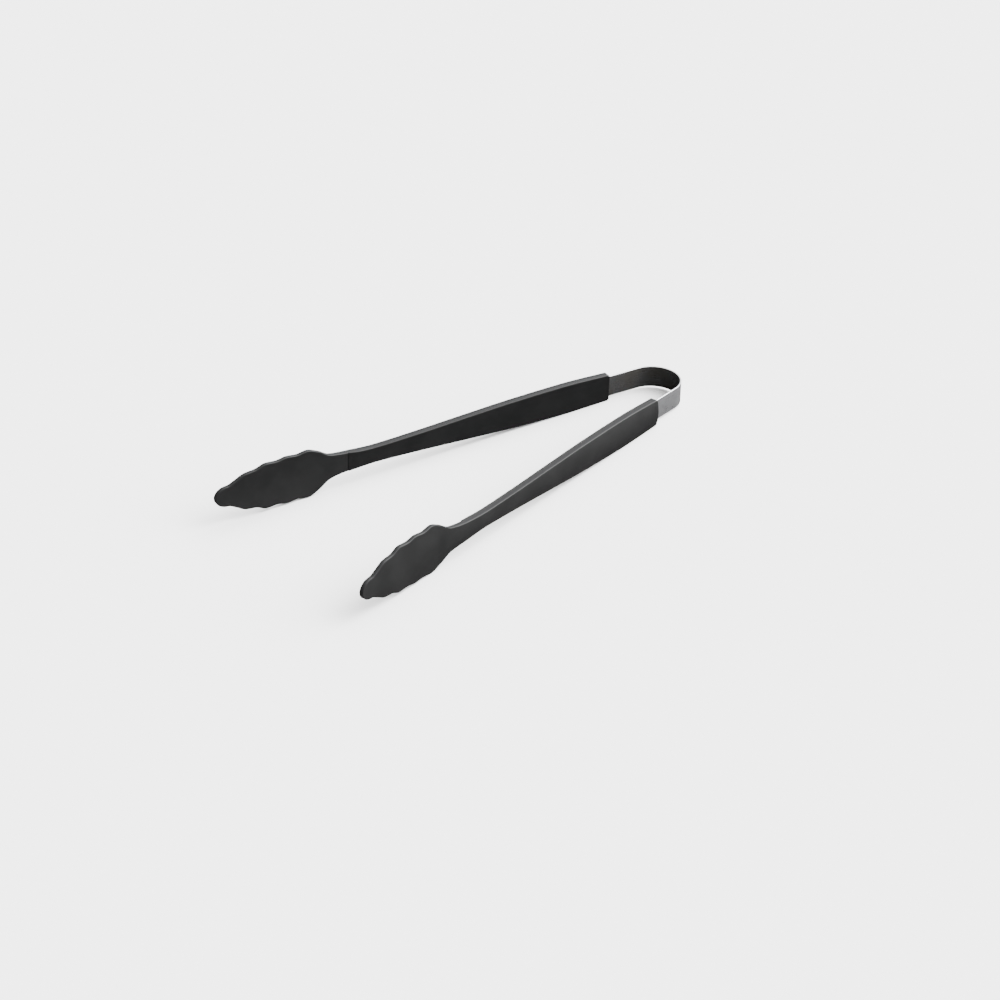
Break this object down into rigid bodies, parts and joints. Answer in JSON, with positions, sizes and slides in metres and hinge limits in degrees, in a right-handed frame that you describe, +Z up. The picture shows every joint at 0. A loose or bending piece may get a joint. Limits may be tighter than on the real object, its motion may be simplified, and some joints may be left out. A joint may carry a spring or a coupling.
{
  "type": "spring loaded kitchen tongs",
  "caption": "Long kitchen tongs with scalloped plastic heads, joined by a bent spring-steel strip that holds them open.",
  "frame": {"origin": "middle of the footprint, on the surface that the tongs lie on", "axes": "+Z up from the surface; +X from the bend to the tips; +Y towards the left arm, so the tongs lie on edge"},
  "size_m": [0.2886, 0.1266, 0.0297],
  "materials": {
    "nylon": "fine satin, moulded",
    "spring_steel": "rolled and lightly brushed",
    "pin_steel": "plain"
  },
  "bodies": {
    "right_side": {"right_arm": "nylon", "right_cover": "nylon", "right_pin_1": "pin_steel", "right_pin_2": "pin_steel", "spring_strip": "spring_steel"},
    "left_side": {"left_arm": "nylon", "left_cover": "nylon", "left_pin_1": "pin_steel", "left_pin_2": "pin_steel"}
  },
  "joints": [
    {"name": "squeeze", "type": "hinge", "parent": "right_side", "child": "left_side", "pos_m": [-0.13895, 0, 0.00744], "axis": [0.0326, 0, -0.9995], "range_deg": [-6, 24], "stiffness_Nm_per_rad": 1.75, "deforming": ["spring_strip"]}
  ]
}
